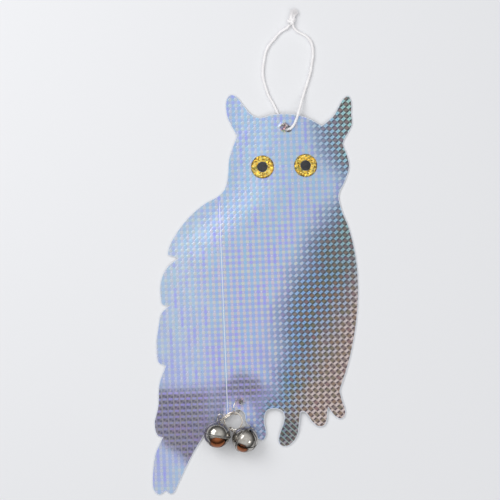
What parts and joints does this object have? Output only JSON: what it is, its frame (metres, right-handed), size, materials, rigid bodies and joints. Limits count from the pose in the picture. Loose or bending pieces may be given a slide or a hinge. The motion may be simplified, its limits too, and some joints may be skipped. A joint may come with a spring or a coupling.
{
  "type": "reflective owl bird scarer",
  "caption": "Flat owl cut from board faced with reflective film, with stuck-on glitter eyes, a hanging loop of cord and jingle bells on wire rings.",
  "frame": {"origin": "on the surface that the panel lies on, under the middle of the panel's outline", "axes": "+Z out of the reflective front, +Y towards the owl's head and the hanging loop, +X to the right as seen from the front"},
  "size_m": [0.196, 0.462, 0.0266],
  "materials": {
    "board": "silvered plastic board, satin",
    "film": "metallised film embossed in small mosaic cells",
    "glitter": "gold glitter",
    "pupil": "dark grey foil",
    "cord": "white soft spun cord",
    "ring_wire": "nickel-plated wire",
    "bell": "nickel plate, polished",
    "pellet": "bare steel"
  },
  "bodies": {
    "panel": {"owl_board": "board", "front_film": "film", "left_eye_iris": "glitter", "left_eye_pupil": "pupil", "right_eye_iris": "glitter", "right_eye_pupil": "pupil"},
    "hang_cord": {"cord_front_strand": "cord", "cord_back_strand": "cord", "cord_knot": "cord", "cord_tail_left": "cord", "cord_tail_right": "cord"},
    "jump_ring": {"jump_ring": "ring_wire"},
    "ring_left": {"bell_ring_left": "ring_wire"},
    "bell_left": {"bell_left_upper": "bell", "bell_left_lower": "bell", "bell_left_hanger": "ring_wire"},
    "pellet_left": {"bell_left_pellet": "pellet"},
    "ring_right": {"bell_ring_right": "ring_wire"},
    "bell_right": {"bell_right_upper": "bell", "bell_right_lower": "bell", "bell_right_hanger": "ring_wire"},
    "pellet_right": {"bell_right_pellet": "pellet"}
  },
  "joints": [
    {"name": "cord_swing", "type": "hinge", "parent": "panel", "child": "hang_cord", "pos_m": [0.03144, 0.1577, 0.0036], "axis": [0, 0, 1], "range_deg": [-20, 20]},
    {"name": "jump_ring_turn", "type": "hinge", "parent": "panel", "child": "jump_ring", "pos_m": [-0.01742, -0.10644, 0.0081], "axis": [-0.8567, 0.2136, -0.4695], "range_deg": [0, 50]},
    {"name": "left_ring_turn", "type": "hinge", "parent": "jump_ring", "child": "ring_left", "pos_m": [-0.02666, -0.11461, 0.01443], "axis": [-0.4977, 0.8606, -0.1077], "range_deg": [0, 40]},
    {"name": "left_bell_swing", "type": "hinge", "parent": "ring_left", "child": "bell_left", "pos_m": [-0.03399, -0.11889, 0.01409], "axis": [-0.4977, 0.8606, -0.1077], "range_deg": [0, 35]},
    {"name": "left_pellet_slide", "type": "slide", "parent": "bell_left", "child": "pellet_left", "axis": [0, 0, 1], "range_m": [0, 0.017]},
    {"name": "right_ring_turn", "type": "hinge", "parent": "jump_ring", "child": "ring_right", "pos_m": [-0.01781, -0.11203, 0.00626], "axis": [-0.6016, -0.3473, 0.7193], "range_deg": [0, 35]},
    {"name": "right_bell_swing", "type": "hinge", "parent": "ring_right", "child": "bell_right", "pos_m": [-0.02172, -0.12834, 0.00511], "axis": [-0.8513, 0.2998, -0.4305], "range_deg": [0, 35]},
    {"name": "right_pellet_slide", "type": "slide", "parent": "bell_right", "child": "pellet_right", "axis": [0, 0, 1], "range_m": [0, 0.017]}
  ]
}
